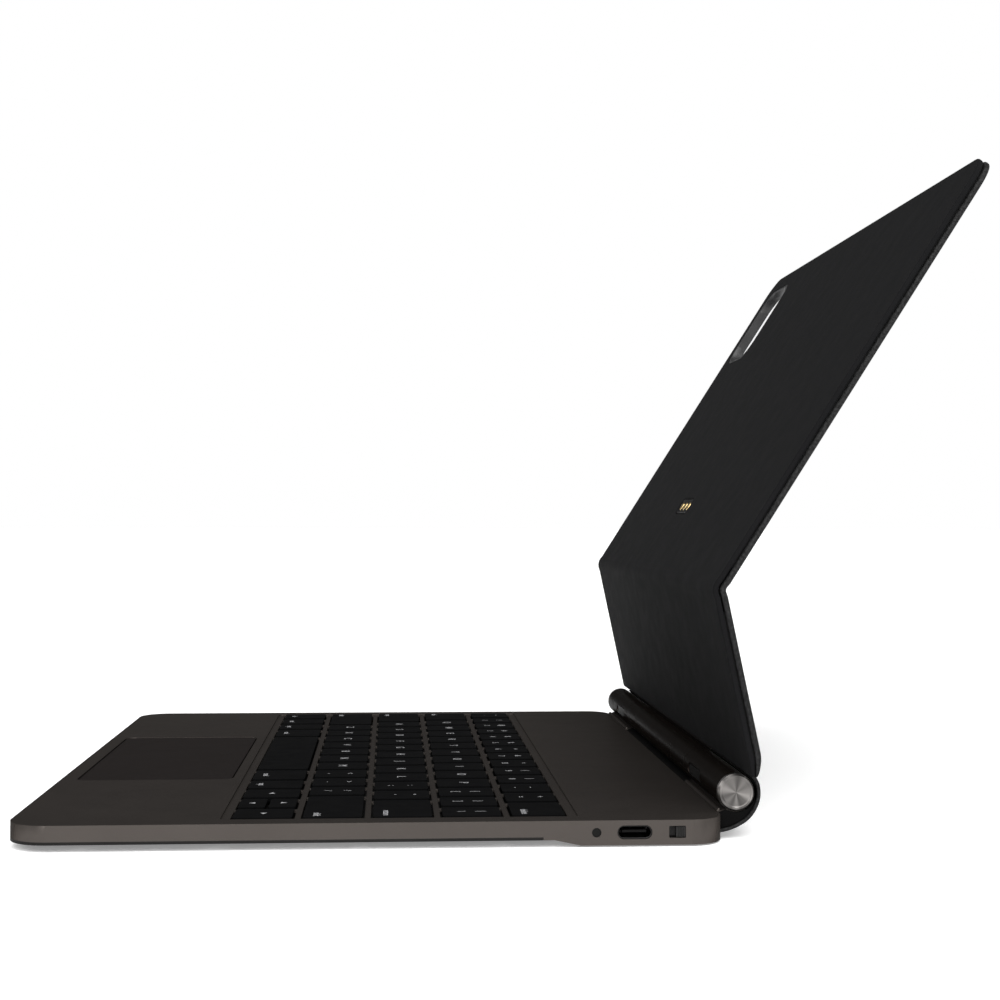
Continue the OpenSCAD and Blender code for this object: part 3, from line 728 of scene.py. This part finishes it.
def build_port_contacts():
    """The rows of contacts on both faces of the port's tongue."""
    low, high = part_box("usb_tongue")
    shape = bmesh.new()
    for i in range(BAR_COUNT):
        y = low.y + (high.y - low.y) * (i + 0.5) / BAR_COUNT
        for z in (low.z, high.z):
            middle = Vector((high.x - BAR_FROM_TIP, y, z))
            for vert in bmesh.ops.create_cube(shape, size=1.0)["verts"]:
                vert.co = middle + vert.co * Vector((BAR_LENGTH, BAR_WIDTH, BAR_HEIGHT))
    made = faceted(piece("port_contacts", shape, FINISHES["port"]))
    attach(made, "base")


# ---- stage ----
def glowing(name, strength):
    """A plain white emission."""
    made = bpy.data.materials.new(name)
    made.use_nodes = True
    shader = made.node_tree.nodes["Principled BSDF"]
    shader.inputs["Base Color"].default_value = (0, 0, 0, 1)
    shader.inputs["Emission Color"].default_value = (1, 1, 1, 1)
    shader.inputs["Emission Strength"].default_value = strength
    shader.inputs["Specular IOR Level"].default_value = 0
    return made


def sun_light(name, place, strength, spread):
    """Even light from a wide disc in the direction of place."""
    data = bpy.data.lights.new(name, "SUN")
    data.energy = strength
    data.angle = spread
    lamp = bpy.data.objects.new(name, data)
    lamp.rotation_euler = Vector(place).to_track_quat("Z", "Y").to_euler()
    bpy.context.scene.collection.objects.link(lamp)


def area_light(name, place, aim, size, power):
    """A soft white rectangular light that looks at aim."""
    data = bpy.data.lights.new(name, "AREA")
    data.shape = "RECTANGLE"
    data.size, data.size_y = size
    data.energy = power
    lamp = bpy.data.objects.new(name, data)
    lamp.location = place
    lamp.rotation_euler = (Vector(aim) - Vector(place)).to_track_quat("-Z", "Y").to_euler()
    bpy.context.scene.collection.objects.link(lamp)


FLOOR_HALF = 14
BACKDROP_RADIUS = 13.5


def build_stage():
    """A pale floor that glows a little, a white backdrop that only the camera sees, and soft lights."""
    shape = bmesh.new()
    bmesh.ops.create_grid(shape, x_segments=1, y_segments=1, size=FLOOR_HALF)
    pale = finish("pale_floor", (0.93, 0.93, 0.93), 0.85, tint=(0.005, 3), polish=(0.02, 4),
                  Specular_IOR_Level=0.1, Emission_Color=(1, 1, 1, 1), Emission_Strength=0.25)
    floor = piece("floor", shape, pale)
    shape = bmesh.new()
    bmesh.ops.create_icosphere(shape, subdivisions=4, radius=BACKDROP_RADIUS)
    backdrop = piece("backdrop", shape, glowing("backdrop_white", 1.0))
    backdrop.visible_diffuse = False
    backdrop.visible_glossy = False
    backdrop.visible_transmission = False
    backdrop.visible_shadow = False
    world = bpy.data.worlds.new("studio")
    bpy.context.scene.world = world
    world.use_nodes = True
    sky = world.node_tree.nodes["Background"]
    sky.inputs["Color"].default_value = (1, 1, 1, 1)
    sky.inputs["Strength"].default_value = 0.2
    bpy.context.scene.view_settings.view_transform = "Standard"
    sun_light("soft_sun", (0.75, 0.05, 1.0), strength=3.6, spread=math.radians(60))
    area_light("side_soft", (1.25, -0.2, 0.45), aim=(0, 0, 0.05), size=(0.7, 0.5), power=5.2)
    area_light("rear_soft", (0.5, 1.4, 0.9), aim=(0, 0.1, 0.05), size=(1.0, 0.6), power=7)
    area_light("front_soft", (0.3, -1.4, 0.8), aim=(0, 0, 0.08), size=(1.0, 0.6), power=6)


# The camera's place from the middle of the deck's top, and how it is turned
BASE_HALF_DEPTH = 94.8 * MM
CAMERA_FROM_DECK = (564.33 * MM, 5.46 * MM, 79.88 * MM)
CAMERA_YAW = math.radians(-3.75)
CAMERA_PITCH = math.radians(0.64)
CAMERA_ROLL = math.radians(0.12)
CAMERA_LENS = 59.98


def place_camera():
    """The camera stands beside the open case, a little above its deck and nearly level."""
    level = -math.cos(CAMERA_PITCH)
    ahead = Vector((level * math.cos(CAMERA_YAW), level * math.sin(CAMERA_YAW), math.sin(CAMERA_PITCH)))
    right = ahead.cross(Vector((0, 0, 1))).normalized()
    up = right.cross(ahead)
    rolled = math.cos(CAMERA_ROLL) * right + math.sin(CAMERA_ROLL) * up
    data = bpy.data.cameras.new("camera")
    data.sensor_width = 36
    data.lens = CAMERA_LENS
    data.clip_start = 0.01
    data.clip_end = 60
    camera = bpy.data.objects.new("camera", data)
    bpy.context.scene.collection.objects.link(camera)
    side, back, above = CAMERA_FROM_DECK
    camera.location = (side, REAR_Y - BASE_HALF_DEPTH + back, DECK_Z + above)
    across = -ahead
    upward = across.cross(rolled)
    matrix = camera.matrix_world.to_3x3()
    matrix.col[0], matrix.col[1], matrix.col[2] = rolled, upward, across
    camera.rotation_euler = matrix.to_euler()
    bpy.context.scene.camera = camera


dress_frame()
KEY_NODES = [name for name in NODES if name.startswith(("key_", "keys_")) and name not in UNDER_KEYS]
soften(KEY_NODES, 0.18 * MM)
soften(["trackpad_glass", "front_feet", "rear_foot", "power_slider", "bottom_plate"], 0.15 * MM, 2)
soften(["deck_shell"], 0.16 * MM, 2)
soften(["usb_shell", "usb_tongue", "window_trim"], 0.1 * MM, 2)
build_panels()
build_spine()
build_legends()
build_dock()
build_rails()
build_port_contacts()
build_stage()
place_camera()
